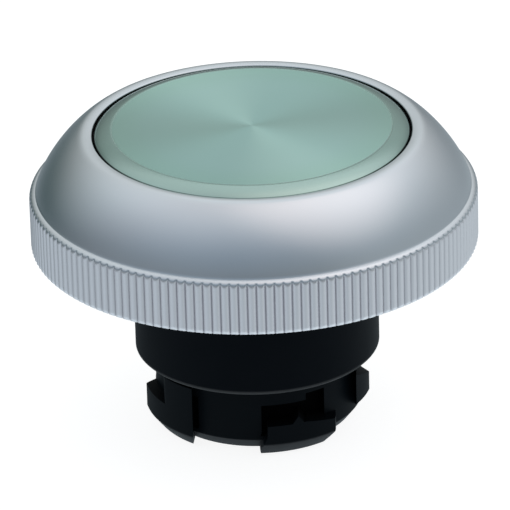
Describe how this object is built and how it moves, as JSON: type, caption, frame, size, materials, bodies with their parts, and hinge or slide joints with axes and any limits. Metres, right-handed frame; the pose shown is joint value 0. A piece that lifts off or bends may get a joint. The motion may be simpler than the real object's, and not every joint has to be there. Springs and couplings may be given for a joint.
{
  "type": "push button head",
  "caption": "Round illuminated push-button head: green lens in a domed satin-metal bezel with a knurled rim, on a black collar with a bayonet neck, sprung to travel inwards",
  "frame": {"origin": "centre of the panel hole, on the plane where the bezel rests on the panel", "axes": "+Z along the push axis, out of the panel towards the user; -Y towards the front foot pair of the bayonet neck"},
  "size_m": [0.04, 0.04, 0.028],
  "materials": {
    "satin_aluminium": "satin, turned, knurled rim",
    "black_plastic": "moulded, slight sheen",
    "neck_plastic": "moulded, slight sheen",
    "black_rubber": "matt",
    "grey_rubber": "matt",
    "grey_plastic": "moulded",
    "stem_plastic": "moulded",
    "white_plastic": "moulded",
    "milky_plastic": "milky, light-diffusing",
    "clear_plastic": "clear, polished ends",
    "turned_insert": "fine turned rings",
    "green_lens": "translucent sage green, polished",
    "spring_steel": "drawn wire"
  },
  "bodies": {
    "housing": {"front_bezel": "satin_aluminium", "bezel_seal_ring": "black_rubber", "panel_gasket": "black_rubber", "mounting_collar": "black_plastic", "bayonet_body": "neck_plastic", "guide_bush": "white_plastic", "spring_washer": "spring_steel", "return_spring": "spring_steel", "sealing_membrane": "grey_rubber", "membrane_clamp_ring": "grey_plastic"},
    "button": {"lens_cap": "green_lens", "insert_plate": "turned_insert", "diffuser_disc": "milky_plastic", "lens_seal_ring": "black_rubber", "lens_holder": "grey_plastic", "membrane_grip_ring": "grey_plastic", "plunger_sleeve": "stem_plastic", "light_guide": "clear_plastic", "stop_clip": "spring_steel", "actuator_plate": "white_plastic"}
  },
  "joints": [
    {"name": "button_press", "type": "slide", "parent": "housing", "child": "button", "axis": [0, 0, -1], "range_m": [0, 0.004], "stiffness_N_per_m": 600, "springref_m": -0.004, "deforming": ["return_spring", "sealing_membrane"]}
  ]
}
